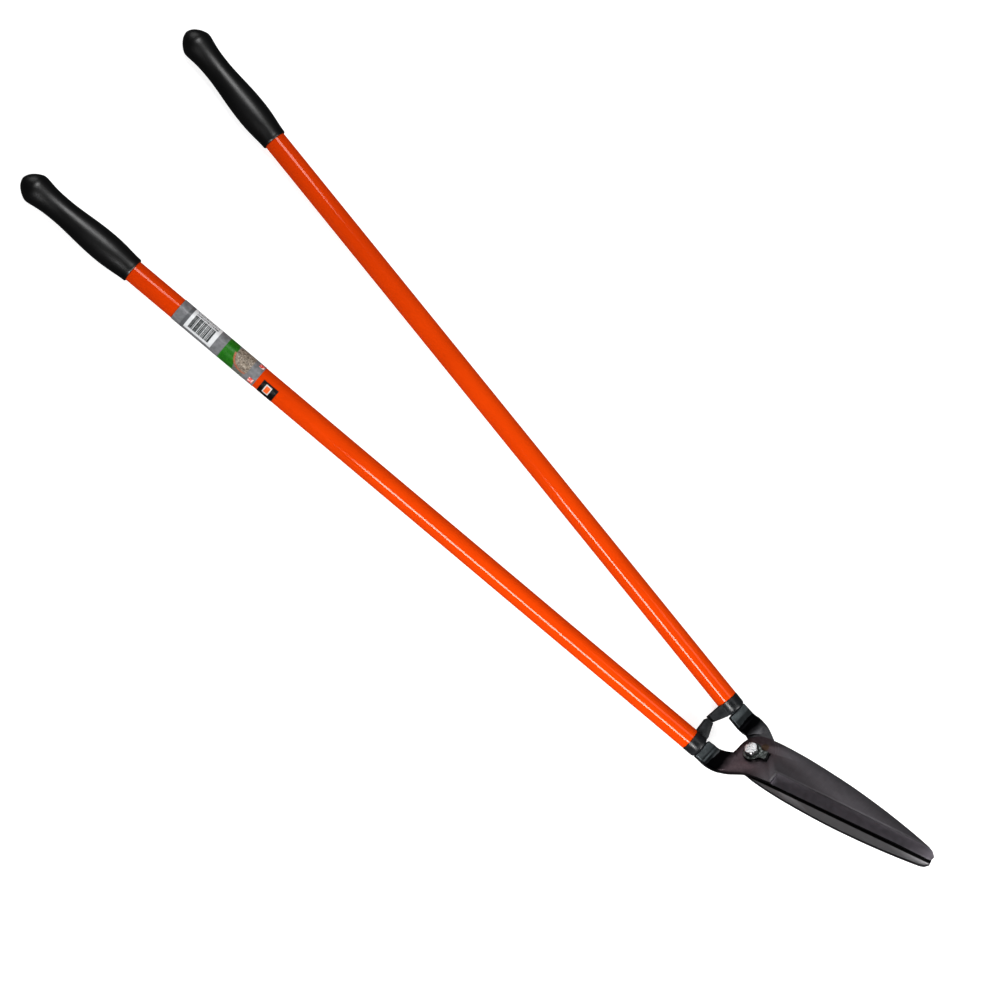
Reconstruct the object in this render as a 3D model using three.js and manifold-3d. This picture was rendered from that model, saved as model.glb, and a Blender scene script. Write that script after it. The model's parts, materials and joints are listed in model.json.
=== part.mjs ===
// Long-handled lawn shears: two cranked forged blades on one pivot bolt, each on a straight tube handle.
// Working frame: +X along the tool towards the blade tips, +Z up, handle tubes lying in one level plane.
import * as THREE from 'three';
import Module from 'manifold-3d';

const wasm = await Module();
wasm.setup();
const { Manifold, Mesh } = wasm;

// ---- driving dimensions, millimetres and degrees ----
const SPREAD = 5.663;            // each tube's angle from the centre line
const APEX = 226.9;              // where the tube axes meet, ahead of the pivot
const CRANK = 46.7;              // rise of the blades out of the handle plane
const PIVOT_RISE = 25.3;         // pivot above the handle plane
const GRIP_END = 1123;           // grip dome, measured back from the apex along a tube
const TUBE = { r: 11, wall: 1.2, near: 281.46, far: 1112 };
const GRIP = { length: 136.5, bore: 11.3, clear: 1.2 };
const COLLAR = { r: 11.15, near: 268, gap: 0.3, spigotR: 9.5, spigot: 30, slotW: 12.6, slotT: 6.6 };
const LUG = { reach: 15, depth: 11, tip: 7.6 };
const LABEL = { near: 829, far: 930, r: 11.1, t: 0.25 };
const PATCH = { near: 805.5, far: 823.2, from: -94, to: -10 };
const BLADE = { t: 4.4, gap: 0.3, edge: 0.7 };
const TANG = { t: 8, spikeT: 6, spikeW: 12, spike: 88, bendR: 10, face: 25 };
const BUSH = { r: 5.9, bore: 4.3 };
const HOLE = 5.98;
const BOLT = { r: 4, af: 13, head: 5.3 };
const WASHER = { r: 8.6, t: 1.6, bore: 4.3 };
const TAB = { r: 9.6, t: 1.1, width: 8.6, reach: 16.2, turn: 12, drop: 3.6 };
const NUT = { af: 13, h: 8 };
const SEG = 64;

const rad = THREE.MathUtils.degToRad;
const beta = rad(CRANK);
const gamma = rad(SPREAD);
const vec = (x, y, z) => new THREE.Vector3(x, y, z);

// ---- helpers ----
function toSolid(geometry) {
  const source = geometry.index ? geometry.toNonIndexed() : geometry;
  const p = source.attributes.position.array;
  const seen = new Map();
  const verts = [];
  const tris = [];
  for (let i = 0; i < p.length; i += 3) {
    const key = [p[i], p[i + 1], p[i + 2]].map((v) => Math.round(v * 1e4)).join();
    if (!seen.has(key)) {
      seen.set(key, verts.length / 3);
      verts.push(p[i], p[i + 1], p[i + 2]);
    }
    tris.push(seen.get(key));
  }
  const kept = [];
  for (let i = 0; i < tris.length; i += 3) {
    const [a, b, c] = tris.slice(i, i + 3);
    if (a !== b && b !== c && a !== c) kept.push(a, b, c);
  }
  return new Manifold(new Mesh({
    numProp: 3, vertProperties: new Float32Array(verts), triVerts: new Uint32Array(kept),
  }));
}

function toGeometry(solid) {
  const mesh = solid.getMesh();
  const g = new THREE.BufferGeometry();
  g.setAttribute('position', new THREE.BufferAttribute(new Float32Array(mesh.vertProperties), 3));
  g.setIndex(new THREE.BufferAttribute(new Uint32Array(mesh.triVerts), 1));
  return g;
}

function lathe(points, segments = SEG) {
  // points are [radius, height]; the result stands on +Z
  const g = new THREE.LatheGeometry(points.map(([r, h]) => new THREE.Vector2(r, h)), segments);
  return g.rotateX(Math.PI / 2);
}

function ring(outer, inner, from, to, segments = SEG) {
  return lathe([[outer, from], [outer, to], [inner, to], [inner, from], [outer, from]], segments);
}

function disc(radius, from, to, segments = SEG) {
  return lathe([[0, from], [radius, from], [radius, to], [0, to]], segments);
}

function prism(outline, from, to) {
  const shape = new THREE.Shape(outline.map(([x, y]) => new THREE.Vector2(x, y)));
  const g = new THREE.ExtrudeGeometry(shape, { depth: to - from, bevelEnabled: false, steps: 1 });
  return g.translate(0, 0, from);
}

function hexagon(af) {
  const r = af / Math.sqrt(3);
  return [0, 1, 2, 3, 4, 5].map((i) => [r * Math.cos(rad(60 * i + 12)), r * Math.sin(rad(60 * i + 12))]);
}

function smooth(points, count) {
  const curve = new THREE.CatmullRomCurve3(points.map(([x, y]) => vec(x, y, 0)), false, 'centripetal');
  return curve.getSpacedPoints(count).map((q) => [q.x, q.y]);
}

// a bar lofted through chamfered rectangular sections
function loft(sections) {
  const ringOf = ({ x, z, a, y, w, t }) => {
    const c = Math.min(0.9, t / 5);
    const n = [-Math.sin(a), Math.cos(a)];
    return [[w / 2, t / 2 - c], [w / 2 - c, t / 2], [c - w / 2, t / 2], [-w / 2, t / 2 - c],
      [-w / 2, c - t / 2], [c - w / 2, -t / 2], [w / 2 - c, -t / 2], [w / 2, c - t / 2]]
      .map(([v, h]) => vec(x + n[0] * h, y + v, z + n[1] * h));
  };
  const rings = sections.map(ringOf);
  const pos = [];
  const push = (...v) => v.forEach((q) => pos.push(q.x, q.y, q.z));
  for (let i = 0; i + 1 < rings.length; i += 1) {
    for (let k = 0; k < 8; k += 1) {
      const [a, b] = [rings[i][k], rings[i][(k + 1) % 8]];
      const [c, d] = [rings[i + 1][k], rings[i + 1][(k + 1) % 8]];
      push(a, b, c, b, d, c);
    }
  }
  const [first, last] = [rings[0], rings[rings.length - 1]];
  for (let k = 1; k < 7; k += 1) {
    push(first[0], first[k + 1], first[k]);
    push(last[0], last[k], last[k + 1]);
  }
  const g = new THREE.BufferGeometry();
  g.setAttribute('position', new THREE.Float32BufferAttribute(pos, 3));
  return g;
}

// ---- placing: blade plane and tube axes ----
const bladePlane = new THREE.Matrix4().makeBasis(
  vec(Math.cos(beta), 0, Math.sin(beta)), vec(0, 1, 0), vec(-Math.sin(beta), 0, Math.cos(beta)),
).setPosition(0, 0, PIVOT_RISE);

function tubeFrame(side) {
  // +Z runs from the apex back along the tube, +Y points towards the other tube, +X is up or down
  const z = vec(-Math.cos(gamma), side * Math.sin(gamma), 0);
  const y = vec(-Math.sin(gamma), -side * Math.cos(gamma), 0);
  return new THREE.Matrix4().makeBasis(y.clone().cross(z), y, z).setPosition(APEX, 0, 0);
}

// ---- blades ----
const SPINE = [[8, 21.6], [14.3, 22.4], [28.8, 23.3], [52, 23.8], [80, 23.3], [110, 22], [136, 20],
  [164, 17.1], [192, 13.4], [206, 11.2], [219, 8.9], [224, 7.3], [227.2, 4.6], [228, 1.8], [227, -0.6]];
const HEEL = [[42, -16.6], [36, -17.6], [24, -19.4], [12, -21.4], [6, -23.4], [0, -26.6], [-7, -30.6],
  [-13, -33.2], [-18, -34.6]];
const HEAD = [[-18, -9.6], [-17.4, -5], [-17.5, 0], [-16.6, 6], [-13.6, 12.6], [-8, 17.8], [0, 20.6], [8, 21.6]];

function bladePlate() {
  const outline = [...smooth(HEAD, 20).slice(0, -1), ...smooth(SPINE, 44), ...smooth(HEEL, 22)];
  const low = BLADE.gap / 2;
  const top = low + BLADE.t;
  const plate = toSolid(prism(outline, low, top));
  const edgeY = (s) => -16.6 + (s - 42) * 0.0864;
  const ridgeY = (s) => -5.4 + (s - 37) * 0.0765;
  return plate.subtract(toSolid(bevelCutter(38, 240, edgeY, ridgeY, top, low + BLADE.edge)));
}

function hexahedron(bottom, rise) {
  const up = bottom.map((q) => q.clone().add(vec(0, 0, rise)));
  const faces = [[3, 2, 1, 0], [4, 5, 6, 7], [0, 1, 5, 4], [1, 2, 6, 5], [2, 3, 7, 6], [3, 0, 4, 7]];
  const v = [...bottom, ...up];
  const pos = [];
  for (const [a, b, c, d] of faces) [a, b, c, a, c, d].forEach((i) => pos.push(v[i].x, v[i].y, v[i].z));
  const g = new THREE.BufferGeometry();
  g.setAttribute('position', new THREE.Float32BufferAttribute(pos, 3));
  return g;
}

function bevelCutter(s0, s1, edgeY, ridgeY, top, edgeN) {
  // its lower face passes through the ridge on the outer face and through the cutting edge
  const at = (s, k) => vec(s, ridgeY(s) + (edgeY(s) - ridgeY(s)) * k, top + (edgeN - top) * k);
  return hexahedron([at(s0, 1.6), at(s1, 1.6), at(s1, -0.6), at(s0, -0.6)], 25);
}

function tangSections(side, mid) {
  // side is the tube's side, mid the blade's mid-plane height above the mating plane
  const atHandle = (x, w, t, y) => ({ x, z: 0, a: 0, y: side * (y ?? (APEX - x) * Math.tan(gamma)), w, t });
  const atBlade = (s, inner, outer, t) => ({
    x: s * Math.cos(beta) - mid * Math.sin(beta), z: PIVOT_RISE + s * Math.sin(beta) + mid * Math.cos(beta),
    a: beta, y: side * (inner + outer) / 2, w: outer - inner, t,
  });
  const s0 = -(PIVOT_RISE + mid * Math.cos(beta)) / Math.sin(beta);
  const x0 = s0 * Math.cos(beta) - mid * Math.sin(beta);
  const tangent = TANG.bendR * Math.tan(beta / 2);
  const list = [atHandle(x0 - 17 - TANG.spike, 8, 5), atHandle(x0 - 17 - TANG.spike + 6, TANG.spikeW, TANG.spikeT),
    atHandle(-39.2, TANG.spikeW, TANG.spikeT), atHandle(-38.4, 20.2, TANG.t), atHandle(x0 - tangent, 21, TANG.t, 25.5)];
  const y1 = 25.6;
  for (let i = 1; i <= 8; i += 1) {
    const a = (beta * i) / 8;
    list.push({
      x: x0 - tangent + TANG.bendR * Math.sin(a), z: TANG.bendR * (1 - Math.cos(a)), a, y: side * y1,
      w: 21 + 0.3 * (i / 8), t: TANG.t,
    });
  }
  const sb = s0 + tangent;
  list.push(atBlade((sb - 24) / 2, 14.3, 36.2, TANG.t), atBlade(-24, 13.2, 35.8, TANG.t));
  list.push(atBlade(-20, 11.6, 35, TANG.t), atBlade(-16, 9.4, 33.8, TANG.t - 1.2), atBlade(-10, 8, 30.6, BLADE.t - 0.4));
  return list;
}

function blade(upper) {
  const flip = upper ? 1 : -1;
  let plate = bladePlate();
  if (!upper) plate = plate.rotate([180, 0, 0]);
  const toTool = (solid) => solid.transform(bladePlane.elements);
  const mid = flip * (BLADE.gap / 2 + BLADE.t / 2);
  const tang = toSolid(loft(tangSections(-flip, mid)));
  const level = BLADE.gap / 2 + 0.06;
  const [low, high] = upper ? [-20, level] : [-level, 20];
  const face = toTool(toSolid(disc(TANG.face, low, high, 96)));
  const seat = BLADE.gap / 2 + BLADE.t - 0.06;
  const outer = toTool(toSolid(upper ? disc(17.2, seat, 20) : disc(17.2, -20, -seat)));
  const bore = toTool(toSolid(disc(HOLE, -20, 20)));
  let body = tang.subtract(face).subtract(outer).add(toTool(plate)).subtract(bore);
  if (upper) body = body.subtract(toTool(toSolid(tabSlot())));
  return toGeometry(body);
}

function tabSlot() {
  const g = new THREE.BoxGeometry(5.4, 10.4, 12);
  return g.translate(TAB.reach - 0.4, 0, 2).rotateZ(rad(TAB.turn));
}

// ---- pivot stack, built along the blade plane's normal ----
function pivotPieces() {
  const top = BLADE.gap / 2 + BLADE.t;
  const washer0 = top + 0.25;
  const tab0 = washer0 + WASHER.t + 0.2;
  const head0 = tab0 + TAB.t + 0.2;
  const under0 = -top - 0.25;
  const nutTop = under0 - WASHER.t - 0.2;
  return {
    washer_upper: ring(WASHER.r, WASHER.bore, washer0, washer0 + WASHER.t),
    tab_washer: tabWasher(tab0),
    pivot_bolt: bolt(head0, nutTop - NUT.h - 2.2),
    pivot_bush: ring(BUSH.r, BUSH.bore, -top - 0.05, top + 0.05),
    washer_lower: ring(WASHER.r, WASHER.bore, under0 - WASHER.t, under0),
    pivot_nut: nut(nutTop),
  };
}

function bolt(head0, end) {
  const trim = lathe([[0, head0 - 1], [9, head0 - 1], [9, head0 + 3.2], [6.2, head0 + BOLT.head], [0, head0 + BOLT.head]]);
  const head = toSolid(prism(hexagon(BOLT.af), head0, head0 + BOLT.head)).intersect(toSolid(trim));
  const shank = toSolid(lathe([[0, end], [BOLT.r - 0.8, end], [BOLT.r, end + 0.8], [BOLT.r, head0 + 1], [0, head0 + 1]]));
  return toGeometry(head.add(shank));
}

function nut(top) {
  const trim = lathe([[0, top - NUT.h], [5.4, top - NUT.h], [5.6, top - 6.4], [7.6, top - 5.6], [7.6, top - 0.8],
    [6.4, top], [0, top]]);
  const hex = toSolid(prism(hexagon(NUT.af), top - NUT.h, top)).intersect(toSolid(trim));
  return toGeometry(hex.subtract(toSolid(disc(BOLT.r + 0.25, top - 20, top + 5))));
}

function tabWasher(base) {
  const body = toSolid(disc(TAB.r, base, base + TAB.t));
  const tongue = new THREE.BoxGeometry(TAB.reach - 4, TAB.width, TAB.t)
    .translate((TAB.reach + 4) / 2, 0, base + TAB.t / 2);
  const hook = new THREE.BoxGeometry(1.1, TAB.width, TAB.drop + TAB.t)
    .translate(TAB.reach - 0.55, 0, base + TAB.t - (TAB.drop + TAB.t) / 2);
  const ear = toSolid(tongue).add(toSolid(hook)).rotate([0, 0, TAB.turn]);
  return toGeometry(body.add(ear).subtract(toSolid(disc(WASHER.bore, base - 9, base + 9))));
}

// ---- handle pieces, built along the tube axis ----
function tube() {
  return ring(TUBE.r, TUBE.r - TUBE.wall, TUBE.near, TUBE.far);
}

function grip() {
  const e = GRIP_END;
  // [distance from the closed end, radius]
  const outer = [[0, 0], [0.5, 4], [1.8, 7.4], [4, 10.6], [7, 13.2], [10.5, 14.8], [15, 15.35], [20, 15.05],
    [26, 14.2], [33, 13.2], [41, 12.65], [50, 12.6], [59, 12.95], [69, 13.75], [80, 14.6], [91, 15.1],
    [101, 15.2], [110, 14.9], [119, 14.2], [127, 13.3], [132, 12.9], [134.6, 12.85], [GRIP.length, 12.3]];
  const b0 = e - TUBE.far - GRIP.clear;
  const inner = [[GRIP.length, GRIP.bore], [b0, GRIP.bore], [b0, 0]];
  return lathe([...outer, ...inner].map(([d, r]) => [r, e - d]).reverse(), 56);
}

function collar() {
  const [a, b] = [COLLAR.near, TUBE.near - COLLAR.gap];
  const body = lathe([[0, a], [COLLAR.r - 2.2, a], [COLLAR.r - 0.7, a + 0.7], [COLLAR.r, a + 2.4], [COLLAR.r, b],
    [COLLAR.spigotR, b], [COLLAR.spigotR, b + COLLAR.spigot], [0, b + COLLAR.spigot]]);
  const y0 = 4;
  const y1 = COLLAR.r + LUG.reach;
  const lug = prism([[a + 0.8, y0], [b, y0], [b, y1], [b - LUG.tip, y1], [a + 0.8, COLLAR.r + 1]].map(([l, y]) => [y, l]),
    -LUG.depth / 2, LUG.depth / 2);
  // the prism is drawn as (reach, along); turn it so that reach is +Y and along is +Z
  const turned = lug.applyMatrix4(new THREE.Matrix4().makeBasis(vec(0, 1, 0), vec(0, 0, 1), vec(1, 0, 0)));
  const slot = new THREE.BoxGeometry(COLLAR.slotT, COLLAR.slotW, 200).translate(0, 0, a + 50);
  return toGeometry(toSolid(body).add(toSolid(turned)).subtract(toSolid(slot)));
}

function labelPatch() {
  const r0 = LABEL.r;
  const r1 = LABEL.r + LABEL.t;
  const arc = [];
  for (let i = 0; i <= 16; i += 1) arc.push(rad(PATCH.from + ((PATCH.to - PATCH.from) * i) / 16));
  const outline = [...arc.map((a) => [r1 * Math.cos(a), r1 * Math.sin(a)]),
    ...arc.reverse().map((a) => [r0 * Math.cos(a), r0 * Math.sin(a)])];
  return prism(outline, PATCH.near, PATCH.far);
}

// ---- assembly ----
const look = (color, roughness, metalness) => new THREE.MeshStandardMaterial({ color, roughness, metalness });
const LACQUER = [0xf0500f, 0.25, 0.1];
const GRIP_BLACK = [0x141414, 0.5, 0];
const COLLAR_BLACK = [0x2b2e30, 0.45, 0];
const FORGED = [0x4a474a, 0.45, 0.8];
const ZINC = [0xc9ccd0, 0.25, 1];
const PAPER = [0x8d8f92, 0.5, 0];

const root = new THREE.Group();
root.name = 'lawn_shears';

function add(name, geometry, matrix, paint) {
  const g = geometry.index ? geometry.toNonIndexed() : geometry;
  if (matrix) g.applyMatrix4(matrix);
  g.deleteAttribute('uv');
  g.computeVertexNormals();
  const mesh = new THREE.Mesh(g, look(...paint));
  mesh.name = name;
  root.add(mesh);
}

add('blade_upper', blade(true), null, FORGED);
add('blade_lower', blade(false), null, FORGED);
for (const [name, geometry] of Object.entries(pivotPieces())) add(name, geometry, bladePlane, ZINC);
for (const [word, side] of [['left', 1], ['right', -1]]) {
  const frame = tubeFrame(side);
  add(`handle_tube_${word}`, tube(), frame, LACQUER);
  add(`grip_${word}`, grip(), frame, GRIP_BLACK);
  add(`collar_${word}`, collar(), frame, COLLAR_BLACK);
}
add('label_wrap', ring(LABEL.r + LABEL.t, LABEL.r, LABEL.near, LABEL.far), tubeFrame(-1), PAPER);
add('label_patch', labelPatch(), tubeFrame(-1), [0x1a1a1a, 0.5, 0]);

// put the origin at the middle of the underside of the bounding box
const box = new THREE.Box3().setFromObject(root);
const shift = vec(-(box.min.x + box.max.x) / 2, -(box.min.y + box.max.y) / 2, -box.min.z);
root.children.forEach((mesh) => mesh.geometry.translate(shift.x, shift.y, shift.z));

export default root;
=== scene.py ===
# Long-handled lawn shears: finishes, detailed pieces, studio and camera.
import bpy
import json
import math
from mathutils import Matrix, Vector


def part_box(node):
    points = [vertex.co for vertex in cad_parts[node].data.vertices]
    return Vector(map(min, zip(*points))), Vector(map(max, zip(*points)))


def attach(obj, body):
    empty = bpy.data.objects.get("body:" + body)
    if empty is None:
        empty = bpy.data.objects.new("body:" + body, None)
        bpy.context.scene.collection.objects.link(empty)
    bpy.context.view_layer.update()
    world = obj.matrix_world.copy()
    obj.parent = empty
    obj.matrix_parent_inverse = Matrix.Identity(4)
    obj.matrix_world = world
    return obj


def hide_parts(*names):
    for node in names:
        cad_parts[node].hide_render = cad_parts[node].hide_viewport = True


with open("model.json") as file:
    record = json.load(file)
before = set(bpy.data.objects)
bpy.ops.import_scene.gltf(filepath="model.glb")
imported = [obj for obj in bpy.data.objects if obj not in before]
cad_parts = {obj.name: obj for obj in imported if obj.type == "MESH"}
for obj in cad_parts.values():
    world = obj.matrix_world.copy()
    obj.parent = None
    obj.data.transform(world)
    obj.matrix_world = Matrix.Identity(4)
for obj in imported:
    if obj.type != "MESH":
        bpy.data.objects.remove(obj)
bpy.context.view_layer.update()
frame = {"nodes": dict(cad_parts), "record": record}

# ---- sizes, metres and degrees ----
SPREAD = math.radians(5.663)                # each tube's angle from the centre line
CRANK = math.radians(46.7)                  # rise of the blades out of the handle plane
APEX_AHEAD = 0.2269                         # where the tubes' axes meet, ahead of the pivot
GRIP_END = 1.123                            # closed end of a grip, back from the apex along its tube
TUBE_R, TUBE_WALL, TUBE_NEAR, TUBE_FAR = 0.011, 0.0012, 0.28146, 1.112
LABEL_R = 0.0113                            # the label's skin, to a tenth of a millimetre
LABEL_FAR = 0.93                            # end of the label nearest the grip
SQUARE_AT, SQUARE_TURN = 0.8152, -0.76      # middle of the square printed on the patch, back and around

# lines on a blade: its own frame has along, across and out from the pivot
PAST_TIP = 0.4                              # anything beyond the tip
BEVEL_START = 0.038
RIDGE_SLOPE, RIDGE_OFFSET = 0.0765, -0.00823
EDGE_SLOPE = 0.0864

hinge = frame["record"]["behaviour"]["joints"][0]
PIVOT = Vector(hinge["pos_m"])
tube_low, tube_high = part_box("handle_tube_right")
LEVEL = (tube_low.z + tube_high.z) / 2
APEX = Vector((PIVOT.x + APEX_AHEAD, 0, LEVEL))
BLADE_ALONG = Vector((math.cos(CRANK), 0, math.sin(CRANK)))
BLADE_OUT = Vector((-math.sin(CRANK), 0, math.cos(CRANK)))


def tube_frame(side):
    """Local Z runs back along the tube from the apex, local X points up, local Y across."""
    along = Vector((-math.cos(SPREAD), side * math.sin(SPREAD), 0))
    up = Vector((0, 0, 1))
    across = along.cross(up)
    place = Matrix((up, across, along)).transposed().to_4x4()
    place.translation = APEX
    return place


def blade_frame():
    """Local X runs along the blades from the pivot, local Y across, local Z out of the upper blade's face."""
    place = Matrix((BLADE_ALONG, Vector((0, 1, 0)), BLADE_OUT)).transposed().to_4x4()
    place.translation = PIVOT
    return place


# ---- material kit ----
class Finish:
    """A node material with one Principled shader and short ways to wire patterns into it."""

    def __init__(self, name, colour, roughness, metallic=0.0, coat=0.0, coat_roughness=0.1, specular=0.5):
        self.material = bpy.data.materials.new(name)
        self.material.use_nodes = True
        self.tree = self.material.node_tree
        self.shader = self.tree.nodes["Principled BSDF"]
        self.shader.inputs["Base Color"].default_value = (*colour, 1)
        self.shader.inputs["Roughness"].default_value = roughness
        self.shader.inputs["Metallic"].default_value = metallic
        self.shader.inputs["Coat Weight"].default_value = coat
        self.shader.inputs["Coat Roughness"].default_value = coat_roughness
        self.shader.inputs["Specular IOR Level"].default_value = specular
        self.here = self.tree.nodes.new("ShaderNodeTexCoord").outputs["Object"]

    def node(self, kind, **inputs):
        made = self.tree.nodes.new(kind)
        for key, value in inputs.items():
            self.feed(made.inputs[key.replace("_", " ")], value)
        return made

    def feed(self, socket, value):
        if isinstance(value, bpy.types.NodeSocket):
            self.tree.links.new(value, socket)
        else:
            socket.default_value = value

    def mapped(self, matrix, stretch=(1, 1, 1)):
        """Object coordinates carried into a piece's own frame, then stretched."""
        inverse = matrix.inverted()
        made = self.node("ShaderNodeMapping", Vector=self.here)
        made.inputs["Location"].default_value = inverse.translation
        made.inputs["Rotation"].default_value = inverse.to_euler()
        if stretch == (1, 1, 1):
            return made.outputs["Vector"]
        scaled = self.node("ShaderNodeMapping", Vector=made.outputs["Vector"])
        scaled.inputs["Scale"].default_value = stretch
        return scaled.outputs["Vector"]

    def noise(self, where, scale, detail=3.0, roughness=0.5):
        made = self.node("ShaderNodeTexNoise", Vector=where, Scale=scale, Detail=detail, Roughness=roughness)
        return made.outputs["Fac"]

    def ramp(self, value, *stops):
        """Each stop is (position, colour or grey)."""
        made = self.node("ShaderNodeValToRGB", Fac=value)
        band = made.color_ramp
        while len(band.elements) < len(stops):
            band.elements.new(0.5)
        for element, (at, shade) in zip(band.elements, stops):
            element.position = at
            element.color = (shade,) * 3 + (1,) if isinstance(shade, (int, float)) else (*shade, 1)
        return made.outputs["Color"]

    def math(self, how, a, b=0.0, c=0.0):
        made = self.tree.nodes.new("ShaderNodeMath")
        made.operation = how
        for socket, value in zip(made.inputs, (a, b, c)):
            self.feed(socket, value)
        return made.outputs[0]

    def both(self, first, *others):
        """The product of masks or numbers."""
        for other in others:
            first = self.math("MULTIPLY", first, other)
        return first

    def between(self, value, low, high, soft=0.0002):
        """1 inside low..high, 0 outside, with a soft edge."""
        rise = self.tree.nodes.new("ShaderNodeMapRange")
        fall = self.tree.nodes.new("ShaderNodeMapRange")
        for made, start, end in ((rise, low - soft, low + soft), (fall, high + soft, high - soft)):
            self.feed(made.inputs["Value"], value)
            made.inputs["From Min"].default_value = start
            made.inputs["From Max"].default_value = end
        return self.both(rise.outputs[0], fall.outputs[0])

    def mix(self, factor, a, b):
        made = self.tree.nodes.new("ShaderNodeMix")
        made.data_type = "RGBA"
        self.feed(made.inputs["Factor"], factor)
        for socket, value in ((made.inputs["A"], a), (made.inputs["B"], b)):
            self.feed(socket, value if isinstance(value, bpy.types.NodeSocket) else (*value, 1))
        return made.outputs["Result"]

    def split(self, where):
        made = self.node("ShaderNodeSeparateXYZ", Vector=where)
        return made.outputs["X"], made.outputs["Y"], made.outputs["Z"]

    def distance(self, a, b):
        return self.math("SQRT", self.math("ADD", self.both(a, a), self.both(b, b)))

    def combined(self, x, y, z):
        return self.node("ShaderNodeCombineXYZ", X=x, Y=y, Z=z).outputs["Vector"]

    def bump(self, height, strength, distance=0.001, under=None):
        made = self.node("ShaderNodeBump", Height=height, Strength=strength, Distance=distance)
        if under is not None:
            self.feed(made.inputs["Normal"], under)
        self.feed(self.shader.inputs["Normal"], made.outputs["Normal"])
        return made.outputs["Normal"]

    def colour(self, value):
        self.feed(self.shader.inputs["Base Color"], value)

    def roughness(self, value):
        self.feed(self.shader.inputs["Roughness"], value)


# ---- handle finishes ----
def lacquer(name, place):
    """Glossy orange stoved lacquer on drawn steel tube, with painted shade darkening it towards the grip, and
    faint rub marks.
    """
    f = Finish(name, (0.76, 0.083, 0.001), 0.45, coat=0.8, coat_roughness=0.08, specular=0.0)
    local = f.mapped(place)
    shade = f.ramp(f.noise(local, 9, 4), (0.3, (0.6, 0.062, 0.0008)), (0.7, (0.68, 0.074, 0.0012)))
    rub = f.noise(f.mapped(place, (160, 160, 5)), 6, 5, 0.65)
    marks = f.ramp(rub, (0.66, 0.0), (0.74, 0.35))
    # painted shade: the orange is darkened towards the grip end
    painted_shade_towards_grip = f.ramp(f.split(local)[2], (0.7, 0.0), (0.97, 1.0))
    shade = f.mix(f.both(painted_shade_towards_grip, 0.5), shade, (0.52, 0.04, 0.0006))
    f.colour(f.mix(marks, shade, (0.85, 0.12, 0.006)))
    f.roughness(f.ramp(rub, (0.35, 0.4), (0.75, 0.52)))
    f.bump(f.noise(local, 300, 2), 0.003, 0.0003)
    return f.material


def grip_skin(name, place):
    """Satin black moulded plastic with a fine sprayed grain."""
    f = Finish(name, (0.002, 0.002, 0.0022), 0.4, specular=0.9)
    local = f.mapped(place)
    worn = f.noise(local, 35, 4)
    f.colour(f.ramp(worn, (0.35, (0.0005, 0.0005, 0.0006)), (0.75, (0.0015, 0.0015, 0.0017))))
    f.roughness(f.ramp(worn, (0.3, 0.36), (0.75, 0.43)))
    fine = f.bump(f.noise(local, 1500, 2, 0.6), 0.05, 0.0002)
    f.bump(f.noise(local, 90, 2), 0.04, 0.0006, fine)
    return f.material


def collar_skin(name, place):
    """Black moulded collar, semi-gloss with scuffed grey clouds."""
    f = Finish(name, (0.012, 0.013, 0.0145), 0.3, specular=0.55)
    local = f.mapped(place)
    cloud = f.noise(local, 110, 4, 0.6)
    f.colour(f.ramp(cloud, (0.35, (0.007, 0.008, 0.009)), (0.72, (0.026, 0.028, 0.031))))
    f.roughness(f.ramp(cloud, (0.3, 0.24), (0.75, 0.42)))
    f.bump(f.noise(local, 1400, 2), 0.1, 0.0002)
    return f.material


# ---- steel finishes ----
def ground_steel(name, place, browned):
    """Forged steel blade: blued neck, painted shade over the bend, mottled tang, ground flats and a darker
    bevel.
    """
    f = Finish(name, (0.1, 0.1, 0.105), 0.4, metallic=1.0)
    local = f.mapped(place)
    lines = f.noise(f.mapped(place, (2400, 40, 40)), 1, 3, 0.6)
    scale = f.noise(local, 240, 5, 0.62)
    flat = flat_tone(f, place, lines)
    ground = f.between(f.split(local)[0], 0.02, PAST_TIP, 0.012)
    tone = f.mix(ground, neck_tone(f, local, scale, browned), flat)
    tone = bevel_and_step(f, local, tone, flat)
    tone = meeting_face(f, local, tone)
    f.colour(pivot_marks(f, local, tone, scale))
    f.roughness(f.ramp(scale, (0.3, 0.34), (0.75, 0.46)))
    fine = f.bump(lines, 0.08, 0.0002)
    f.bump(scale, 0.1, 0.0003, fine)
    return f.material


def flat_tone(f, place, lines):
    """Ground flats: broad soft patches under fine lines left by the grinding wheel."""
    sweep = f.noise(f.mapped(place, (14, 60, 60)), 1, 4)
    flat = f.ramp(sweep, (0.3, (0.115, 0.108, 0.117)), (0.7, (0.145, 0.136, 0.148)))
    return f.mix(f.ramp(lines, (0.4, 0.0), (0.72, 0.3)), flat, (0.17, 0.162, 0.172))


def neck_tone(f, local, scale, browned):
    """Blued steel by the collar, painted shade in black over the bend and a darker painted band where it
    starts, then forge scale, brown where browned is 1.
    """
    forward = f.math("SUBTRACT", f.split(f.here)[0], PIVOT.x)
    scaled = f.ramp(scale, (0.3, (0.115, 0.088, 0.098)), (0.72, (0.17, 0.136, 0.148)))
    blued = f.ramp(scale, (0.3, (0.085, 0.098, 0.103)), (0.72, (0.135, 0.152, 0.157)))
    tang = f.mix(browned, f.mix(0.35, blued, scaled), scaled)
    wander = f.math("MULTIPLY_ADD", f.noise(local, 90, 2), 0.006, f.math("ADD", forward, 0.027))
    before_bend = f.ramp(f.both(wander, 50), (0.19, 1.0), (0.22, 0.0))
    # painted shade: the bend is coloured almost black
    painted_shade_over_bend = f.ramp(f.both(wander, 50), (0.64, 1.0), (0.98, 0.0))
    neck = f.mix(before_bend, f.mix(painted_shade_over_bend, tang, (0.003, 0.003, 0.0035)), blued)
    # painted shade: a darker band on the blued steel where the bend starts
    painted_shade_at_bend_start = f.between(forward, -0.0318, -0.0262, 0.0008)
    return f.mix(f.both(painted_shade_at_bend_start, 0.68), neck, (0.012, 0.014, 0.015))


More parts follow.
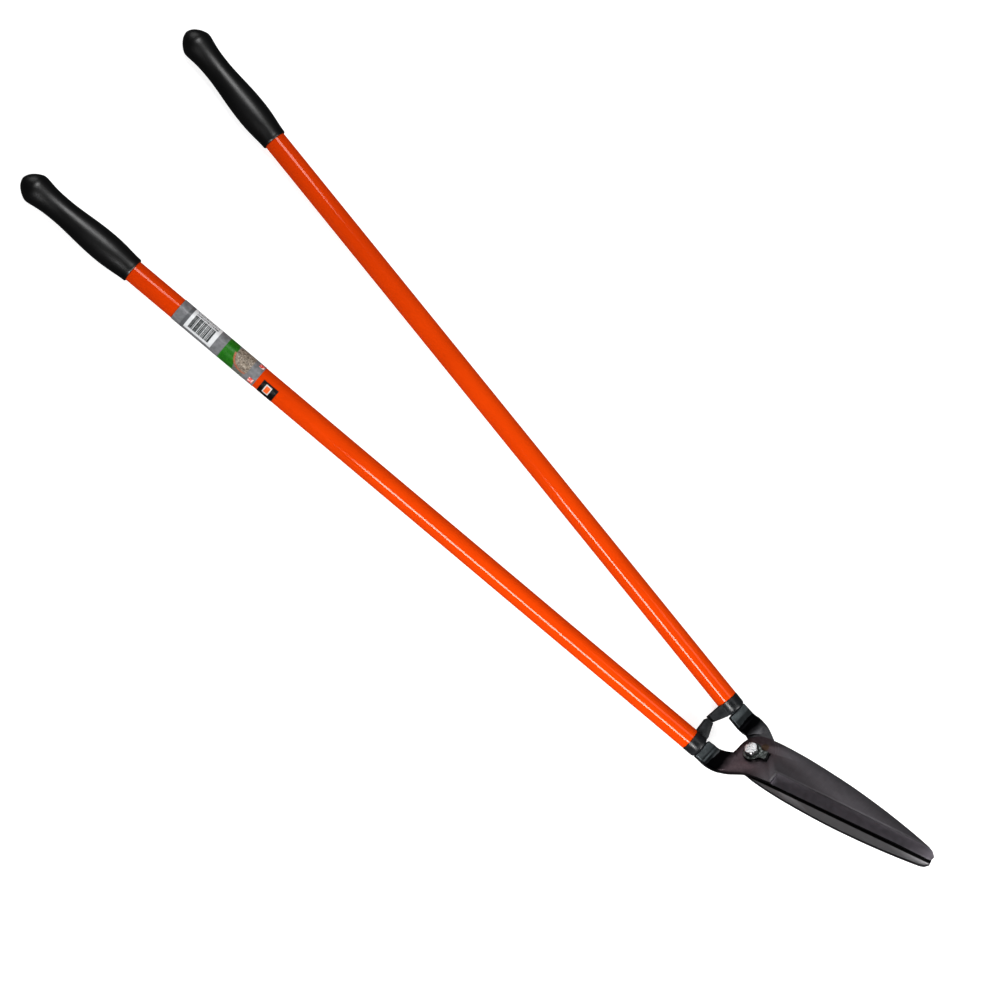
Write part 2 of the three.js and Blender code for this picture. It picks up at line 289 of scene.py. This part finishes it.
def bevel_and_step(f, local, tone, flat):
    """The outer face's bevel, a painted highlight along the crest of its ridge and a painted highlight on the
    step where the bevel starts.
    """
    along, across, out = f.split(local)
    face = f.between(out, 0.0007, 0.02, 0.0001)
    ridge = f.math("SUBTRACT", across, f.math("MULTIPLY_ADD", along, RIDGE_SLOPE, RIDGE_OFFSET))
    bevel = f.both(f.between(ridge, -0.05, 0, 0.0003), f.between(along, BEVEL_START, PAST_TIP, 0.0003))
    tone = f.mix(f.both(bevel, face), tone, f.mix(0.8, flat, (0.3, 0.275, 0.31)))
    # painted highlight: a bright strip along the crest of the ridge
    painted_highlight_crest = f.both(f.between(ridge, 0.0001, 0.002, 0.0005), f.between(along, 0.034, 0.22, 0.002))
    tone = f.mix(f.both(painted_highlight_crest, 0.45), tone, (0.26, 0.25, 0.265))
    # painted highlight: a bright line on the step where the bevel starts
    painted_highlight_step = f.both(f.between(along, 0.0354, 0.0377, 0.0006), f.between(across, -0.0158, -0.0056, 0.0008))
    return f.mix(f.both(painted_highlight_step, face), tone, (0.22, 0.215, 0.225))


def meeting_face(f, local, tone):
    """The inner face, brighter where it is ground, with painted shadow along the other blade's edge and
    painted shade round its own rim.
    """
    along, across, out = f.split(local)
    inner = f.between(out, -0.01, 0.0005, 0.0001)
    inside = f.both(inner, f.between(along, 0.02, PAST_TIP, 0.01))
    tone = f.mix(f.both(inside, 0.8), tone, (0.32, 0.314, 0.32))
    # painted shadow: a dark strip on the inner face along the other blade's cutting edge
    painted_edge_shadow = f.between(f.math("MULTIPLY_ADD", along, EDGE_SLOPE, across), 0.0196, 0.0232, 0.0004)
    tone = f.mix(f.both(painted_edge_shadow, inner), tone, (0.004, 0.004, 0.004))
    # painted shade: a dark band round the rim, just off the inner face
    return f.mix(f.between(out, 0.0003, 0.0008, 0.0001), tone, (0.01, 0.01, 0.01))


def pivot_marks(f, local, tone, scale):
    """Painted highlight arcs round the pivot, painted shadow round the washers and one round brown spot."""
    along, across, out = f.split(local)
    reach = f.distance(along, across)
    # painted highlight: thin bright arcs round the pivot
    painted_glint_rings = f.math("MAXIMUM", f.between(reach, 0.0226, 0.023), f.between(reach, 0.0252, 0.0256))
    painted_glint_rings = f.both(painted_glint_rings, f.noise(local, 130, 2), f.between(across, 0.009, 0.04, 0.003))
    tone = f.mix(f.both(painted_glint_rings, 0.6), tone, (0.3, 0.28, 0.29))
    # painted shadow: the blade is darkened close round the washers
    painted_washer_shadow = f.ramp(f.both(reach, 50), (0.44, 1.0), (0.56, 0.0))
    tone = f.mix(painted_washer_shadow, tone, (0.006, 0.006, 0.006))
    # a round brown spot beside the bolt
    spot = f.distance(f.math("SUBTRACT", along, 0.0062), f.math("SUBTRACT", across, 0.0109))
    red_brown = f.ramp(scale, (0.3, (0.07, 0.045, 0.03)), (0.7, (0.16, 0.115, 0.08)))
    return f.mix(f.between(spot, -1, 0.0042, 0.0008), tone, red_brown)


def dark_plate(name, place):
    """Dull grey-green phosphated washers with bright rubbed spots."""
    f = Finish(name, (0.12, 0.135, 0.13), 0.36, metallic=1.0)
    spots = f.noise(f.mapped(place), 420, 4, 0.6)
    f.colour(f.ramp(spots, (0.35, (0.06, 0.07, 0.067)), (0.58, (0.2, 0.22, 0.21)), (0.72, (0.5, 0.52, 0.51))))
    f.roughness(f.ramp(spots, (0.3, 0.42), (0.75, 0.28)))
    f.bump(spots, 0.2, 0.0002)
    return f.material


def zinc(name, place):
    """Bright zinc plating, slightly crystalline, with painted shade from the foot of the bolt's head down into
    the nut.
    """
    f = Finish(name, (0.72, 0.73, 0.75), 0.25, metallic=1.0)
    local = f.mapped(place)
    spots = f.noise(local, 620, 3, 0.6)
    crystals = f.ramp(spots, (0.34, (0.28, 0.29, 0.3)), (0.5, (0.66, 0.67, 0.68)), (0.66, (0.9, 0.91, 0.91)))
    # painted shade: darkens all but the top of the bolt's head and the foot of the nut
    painted_shade_band = f.between(f.split(local)[2], -0.0102, 0.0097, 0.0006)
    f.colour(f.mix(f.both(painted_shade_band, 0.85), crystals, (0.05, 0.055, 0.052)))
    f.roughness(f.ramp(spots, (0.3, 0.22), (0.75, 0.4)))
    f.bump(spots, 0.15, 0.0002)
    return f.material


# ---- label finishes ----
def black_film(name, place):
    """Glossy black film with a plain orange square in a thin white border."""
    f = Finish(name, (0.004, 0.004, 0.004), 0.3, coat=0.3)
    local = f.mapped(place)
    up, across, back = f.split(local)
    along = f.math("ABSOLUTE", f.math("SUBTRACT", back, SQUARE_AT))
    around = f.math("ABSOLUTE", f.math("SUBTRACT", f.math("ARCTAN2", across, up), SQUARE_TURN))
    haze = f.noise(local, 500, 3)
    tone = f.ramp(haze, (0.3, (0.002, 0.002, 0.002)), (0.7, (0.007, 0.007, 0.007)))
    for half_long, half_round, ink in ((0.0036, 0.43, (0.62, 0.6, 0.58)), (0.0025, 0.32, (0.75, 0.14, 0.02))):
        square = f.both(f.between(along, -1, half_long, 0.0003), f.between(around, -1, half_round, 0.03))
        tone = f.mix(square, tone, ink)
    f.colour(tone)
    f.roughness(f.ramp(haze, (0.3, 0.25), (0.7, 0.38)))
    return f.material


def label_print(name, place):
    """Grey film label: ruled white panel, green band, leaf-litter picture in an orange ring, two small icons.

    down is the distance from the end nearest the grip, and turn is the angle round the tube.
    """
    f = Finish(name, (0.2, 0.2, 0.205), 0.34, coat=0.25, coat_roughness=0.1)
    local = f.mapped(place)
    up, across, back = f.split(local)
    down = f.math("SUBTRACT", LABEL_FAR, back)
    turn = f.math("ARCTAN2", across, up)
    tone = f.ramp(f.noise(local, 260, 3), (0.3, (0.15, 0.155, 0.162)), (0.7, (0.235, 0.235, 0.245)))
    tone = f.mix(f.both(f.between(down, 0.01, 0.0138, 0.0004), 0.6), tone, (0.07, 0.075, 0.08))
    tone = ruled_panel(f, down, turn, tone)
    tone = green_band(f, local, down, turn, tone)
    tone = litter_picture(f, local, down, turn, tone)
    f.colour(icons(f, local, down, turn, tone))
    f.roughness(f.ramp(f.noise(local, 200, 3), (0.3, 0.28), (0.7, 0.42)))
    f.bump(f.noise(local, 900, 2), 0.04, 0.0002)
    return f.material


def ruled_panel(f, down, turn, tone):
    """White panel with plain dark rules and two rows of dots."""
    panel = f.both(f.between(down, 0.0138, 0.0468), f.between(turn, -1.23, 1.15, 0.02))
    tone = f.mix(panel, tone, (0.66, 0.67, 0.68))
    rules = f.ramp(f.noise(f.combined(down, 0.0, 0.0), 820, 3, 0.8), (0.5, 1.0), (0.54, 0.12))
    ruled = f.both(rules, f.between(down, 0.0175, 0.0425), f.between(turn, -0.95, 0.36, 0.03))
    tone = f.mix(ruled, tone, (0.03, 0.035, 0.035))
    grain = f.noise(f.combined(down, f.both(turn, 0.006), 0.0), 1100, 2, 0.8)
    dots = f.both(f.ramp(grain, (0.49, 1.0), (0.53, 0.0)), f.between(down, 0.0175, 0.0435))
    rows = f.math("ADD", f.between(turn, 0.45, 0.62, 0.01), f.between(turn, 0.74, 0.9, 0.01))
    return f.mix(f.both(dots, rows), tone, (0.05, 0.05, 0.05))


def green_band(f, local, down, turn, tone):
    """Slanted grass-green band, with a mossy strip beyond it on the outer side."""
    speckle = f.noise(local, 900, 3, 0.7)
    slant = f.math("MULTIPLY_ADD", turn, 0.003, down)
    grass = f.ramp(speckle, (0.35, (0.006, 0.11, 0.004)), (0.65, (0.03, 0.22, 0.01)))
    band = f.both(f.between(down, 0.0573, 0.08), f.between(slant, 0, 0.0715, 0.0004))
    tone = f.mix(band, tone, grass)
    moss = f.ramp(speckle, (0.35, (0.1, 0.11, 0.09)), (0.65, (0.2, 0.21, 0.18)))
    strip = f.both(f.between(slant, 0.0715, 0.083, 0.0004), f.between(turn, -3.2, -0.5, 0.05))
    return f.mix(strip, tone, moss)


def litter_picture(f, local, down, turn, tone):
    """Round picture of leaf litter in half an orange ring."""
    middle = f.distance(f.math("SUBTRACT", down, 0.0835), f.both(f.math("SUBTRACT", turn, 0.3), LABEL_R))
    red_brown = f.ramp(f.noise(local, 900, 3, 0.7), (0.4, (0.4, 0.08, 0.03)), (0.6, (0.42, 0.2, 0.13)))
    ring = f.both(f.between(middle, 0.0135, 0.0155, 0.0007), f.between(turn, -3.2, 0.1, 0.05))
    tone = f.mix(f.both(ring, f.between(down, 0.0, 0.0885)), tone, red_brown)
    litter = f.noise(local, 520, 5, 0.8)
    earth, bark, straw = (0.05, 0.035, 0.025), (0.23, 0.19, 0.15), (0.5, 0.45, 0.38)
    leaves = f.ramp(litter, (0.32, earth), (0.5, bark), (0.66, straw))
    picture = f.both(f.between(middle, -1, 0.0137, 0.0004), f.between(down, 0.0, 0.0895))
    return f.mix(picture, tone, leaves)


def icons(f, local, down, turn, tone):
    """Two small red and pink squares at the label's end away from the grip."""
    blotches = f.ramp(f.noise(local, 420, 1), (0.46, (0.72, 0.05, 0.03)), (0.54, (0.8, 0.6, 0.56)))
    for at, low, high in ((0.0972, 0.45, 0.95), (0.0965, -1.4, -0.82)):
        square = f.both(f.between(down, at - 0.0028, at + 0.0028), f.between(turn, low, high, 0.02))
        tone = f.mix(square, tone, blotches)
    return tone


# ---- making pieces ----
def select_none():
    if bpy.context.object and bpy.context.object.mode != "OBJECT":
        bpy.ops.object.mode_set(mode="OBJECT")
    bpy.ops.object.select_all(action="DESELECT")


def make_current(obj):
    select_none()
    obj.select_set(True)
    bpy.context.view_layer.objects.active = obj


def copy_of(node, name):
    """A merged copy of a CAD node's mesh, ready for rounding."""
    source = frame["nodes"][node]
    obj = bpy.data.objects.new(name, source.data.copy())
    bpy.context.scene.collection.objects.link(obj)
    obj.data.transform(source.matrix_world)
    make_current(obj)
    bpy.ops.object.mode_set(mode="EDIT")
    bpy.ops.mesh.select_all(action="SELECT")
    bpy.ops.mesh.remove_doubles(threshold=0.000002)
    bpy.ops.mesh.dissolve_limited(angle_limit=math.radians(0.6))
    bpy.ops.object.mode_set(mode="OBJECT")
    return obj


def round_edges(obj, width, segments=2, angle=30):
    bevel = obj.modifiers.new("rounding", "BEVEL")
    bevel.width = width
    bevel.segments = segments
    bevel.limit_method = "ANGLE"
    bevel.angle_limit = math.radians(angle)
    make_current(obj)
    bpy.ops.object.modifier_apply(modifier=bevel.name)


def smooth_by(obj, angle):
    make_current(obj)
    bpy.ops.object.shade_smooth_by_angle(angle=math.radians(angle))


def hand_over(obj, body, slot, material, *nodes):
    obj.data.materials.clear()
    obj.data.materials.append(material)
    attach(obj, body)
    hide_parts(*nodes)


def turned(name, profile, sides=96):
    """A turned piece: a ring is extruded and resized from station to station of (radius, distance)."""
    select_none()
    radius, at = profile[0]
    bpy.ops.mesh.primitive_circle_add(vertices=sides, radius=radius, fill_type="NOTHING", location=(0, 0, at))
    obj = bpy.context.object
    obj.name = name
    bpy.ops.object.transform_apply(location=True)
    bpy.ops.object.mode_set(mode="EDIT")
    bpy.ops.mesh.select_all(action="SELECT")
    for next_radius, next_at in profile[1:]:
        bpy.ops.mesh.extrude_edges_move(TRANSFORM_OT_translate={"value": (0, 0, next_at - at)})
        growth = next_radius / radius
        bpy.ops.transform.resize(value=(growth, growth, 1), center_override=(0, 0, next_at))
        radius, at = next_radius, next_at
    bpy.ops.mesh.select_all(action="SELECT")
    bpy.ops.mesh.remove_doubles(threshold=0.0000005)
    bpy.ops.mesh.normals_make_consistent(inside=False)
    bpy.ops.object.mode_set(mode="OBJECT")
    return obj


def close_poles(obj):
    """Caps the two tiny rings that a turned piece leaves open on its axis."""
    make_current(obj)
    bpy.ops.object.mode_set(mode="EDIT")
    bpy.ops.mesh.select_all(action="DESELECT")
    bpy.ops.mesh.select_non_manifold()
    bpy.ops.mesh.edge_face_add()
    bpy.ops.mesh.select_all(action="SELECT")
    bpy.ops.mesh.normals_make_consistent(inside=False)
    bpy.ops.object.mode_set(mode="OBJECT")


def own_copy(master, name, matrix):
    """A copy of a modelled piece with its own mesh, carried into place."""
    obj = bpy.data.objects.new(name, master.data.copy())
    bpy.context.scene.collection.objects.link(obj)
    obj.data.transform(matrix)
    return obj


# ---- handles ----
TUBE_BORE = TUBE_R - TUBE_WALL
TUBE_PROFILE = [(TUBE_BORE, TUBE_NEAR), (TUBE_R - 0.0004, TUBE_NEAR), (TUBE_R, TUBE_NEAR + 0.0004),
                (TUBE_R, 0.5), (TUBE_R, 0.8), (TUBE_R, TUBE_FAR), (TUBE_BORE, TUBE_FAR),
                (TUBE_BORE, 0.7), (TUBE_BORE, TUBE_NEAR)]

# (radius, distance from the closed end) in millimetres: the outside from the pole, then the bore
GRIP_SHAPE = [(0.2, 0.02), (1.6, 0.22), (3.2, 0.7), (5.2, 1.65), (7.2, 2.95), (9.2, 4.8), (11.0, 6.9),
              (12.6, 9.2), (14.0, 11.8), (14.95, 14.0), (15.3, 16.2), (15.2, 18.6), (14.75, 21.6),
              (14.2, 25), (13.6, 29), (13.15, 33), (12.8, 38), (12.63, 44), (12.6, 50), (12.75, 56),
              (13.1, 62), (13.6, 69), (14.15, 76), (14.65, 83), (15.0, 90), (15.18, 97), (15.2, 103),
              (15.0, 109), (14.6, 115), (14.0, 121), (13.4, 126.5), (13.0, 130.5), (12.85, 133.2),
              (12.8, 135.0), (12.5, 136.1), (12.1, 136.5), (11.3, 136.5), (11.3, 60), (11.3, 12.4),
              (0.2, 12.4)]


def build_handle(word, side, body, tube_master, grip_master):
    place = tube_frame(side)
    tube = own_copy(tube_master, "tube_" + word, place)
    hand_over(tube, body, "orange_lacquer", lacquer("orange_lacquer_" + word, place), "handle_tube_" + word)
    grip = own_copy(grip_master, "grip_sleeve_" + word, place)
    hand_over(grip, body, "grip_black", grip_skin("grip_black_" + word, place), "grip_" + word)
    collar = copy_of("collar_" + word, "stop_collar_" + word)
    round_edges(collar, 0.0005, 3)
    smooth_by(collar, 40)
    hand_over(collar, body, "collar_black", collar_skin("collar_black_" + word, place), "collar_" + word)


def build_handles():
    """The tube and the grip are modelled once, in a tube's own frame, and copied for each side."""
    tube = turned("tube_master", TUBE_PROFILE)
    smooth_by(tube, 40)
    grip = turned("grip_master", [(radius / 1000, GRIP_END - at / 1000) for radius, at in GRIP_SHAPE], 72)
    close_poles(grip)
    smooth_by(grip, 50)
    build_handle("left", 1, "left_half", tube, grip)
    build_handle("right", -1, "right_half", tube, grip)
    bpy.data.objects.remove(tube)
    bpy.data.objects.remove(grip)


# ---- blades, pivot and labels ----
def build_blades(upper_place):
    lower_place = upper_place @ Matrix.Rotation(math.pi, 4, "X")
    for word, body, place, browned in (("upper", "right_half", upper_place, 1.0),
                                       ("lower", "left_half", lower_place, 0.0)):
        blade = copy_of("blade_" + word, "shear_blade_" + word)
        round_edges(blade, 0.0003, 2, 20)
        smooth_by(blade, 30)
        steel = ground_steel("ground_steel_" + word, place, browned)
        hand_over(blade, body, "forged_steel", steel, "blade_" + word)


def build_pivot(place):
    plated = zinc("bright_zinc", place)
    dull = dark_plate("dull_washer_plate", place)
    for node, plating in (("pivot_bolt", plated), ("tab_washer", dull), ("washer_upper", dull),
                          ("washer_lower", dull), ("pivot_nut", plated), ("pivot_bush", plated)):
        fitting = copy_of(node, "shear_" + node)
        round_edges(fitting, 0.0002)
        smooth_by(fitting, 35)
        hand_over(fitting, "right_half", "zinc_steel", plating, node)


def build_labels(place):
    wrap = copy_of("label_wrap", "film_label")
    smooth_by(wrap, 40)
    hand_over(wrap, "right_half", "label_print", label_print("label_film", place), "label_wrap")
    patch = copy_of("label_patch", "black_label")
    smooth_by(patch, 40)
    hand_over(patch, "right_half", "label_black", black_film("label_black_film", place), "label_patch")


# ---- studio ----
def studio_floor():
    """A wide pale floor that glows a little. Glossy rays miss it, so dark edges stay dark."""
    select_none()
    bpy.ops.mesh.primitive_plane_add(size=60, location=(0, 0, 0))
    floor = bpy.context.object
    floor.name = "studio_floor"
    f = Finish("floor_white", (0.4, 0.4, 0.4), 0.9, specular=0.1)
    f.shader.inputs["Emission Color"].default_value = (1, 1, 1, 1)
    f.shader.inputs["Emission Strength"].default_value = 0.8
    floor.data.materials.append(f.material)
    floor.visible_glossy = False


def studio_lamps():
    softbox("grip_end_box", (-1.2, 0.56, 2.4), (-0.42, 0, 0), 1.35, 1.05, 7.5)
    softbox("neck_end_box", (0.42, -0.8, 0.75), (0.36, 0, 0), 0.84, 0.32, 16.0)
    softbox("far_box", (3.6, 0.6, 2.8), (0.3, 0, 0), 2.2, 3.0, 6.6)
    softbox("neck_top_box", (0.95, 0.9, 2.4), (0.35, 0, 0), 0.9, 0.9, 1.8)
    softbox("blade_card", (-3.4, 1.25, 0.72), (0.1, 0, 0.1), 1.9, 1.1, 2.05, (0, 1, 0))


def softbox(name, where, aim, wide, tall, glow, across=(1, 0, 0)):
    """A rectangular lamp of an even glow facing its aim, wide along the given direction."""
    light = bpy.data.lights.new(name, "AREA")
    light.shape = "RECTANGLE"
    light.size = wide
    light.size_y = tall
    light.energy = glow * wide * tall * math.pi
    obj = bpy.data.objects.new(name, light)
    z = (Vector(where) - Vector(aim)).normalized()
    y = z.cross(Vector(across)).normalized()
    x = y.cross(z).normalized()
    obj.matrix_world = Matrix.Translation(where) @ Matrix((x, y, z)).transposed().to_4x4()
    bpy.context.scene.collection.objects.link(obj)


def soft_room():
    """A room that is dim as a light and pale where it shows past the floor, and the plain view transform."""
    world = bpy.data.worlds.new("soft_room")
    world.use_nodes = True
    tree = world.node_tree
    room = tree.nodes["Background"]
    room.inputs["Color"].default_value = (0.95, 0.97, 1.0, 1)
    path = tree.nodes.new("ShaderNodeLightPath")
    glow = tree.nodes.new("ShaderNodeMapRange")
    glow.inputs["To Min"].default_value = 0.06
    glow.inputs["To Max"].default_value = 0.9
    tree.links.new(path.outputs["Is Camera Ray"], glow.inputs["Value"])
    tree.links.new(glow.outputs["Result"], room.inputs["Strength"])
    bpy.context.scene.world = world
    bpy.context.scene.view_settings.view_transform = "Standard"
    bpy.context.scene.view_settings.gamma = 0.82


def camera():
    """The camera stands above and beside the pivot's foot, given by its own right and up directions."""
    data = bpy.data.cameras.new("viewer")
    data.sensor_width = 36
    data.lens = 99.96
    data.clip_end = 50
    obj = bpy.data.objects.new("viewer", data)
    right = Vector((0.69901, 0.67432, 0.23808))
    up = Vector((-0.71364, 0.67912, 0.17177))
    back = right.cross(up).normalized()
    up = back.cross(right).normalized()
    turn = Matrix((right, up, back)).transposed().to_4x4()
    foot = Vector((PIVOT.x, 0, LEVEL))
    stand = Vector((-0.47413, -0.78128, 2.59045))
    obj.matrix_world = Matrix.Translation(foot + stand) @ turn
    bpy.context.scene.collection.objects.link(obj)
    bpy.context.scene.camera = obj


build_handles()
build_blades(blade_frame())
build_pivot(blade_frame())
build_labels(tube_frame(-1))
studio_floor()
studio_lamps()
soft_room()
camera()
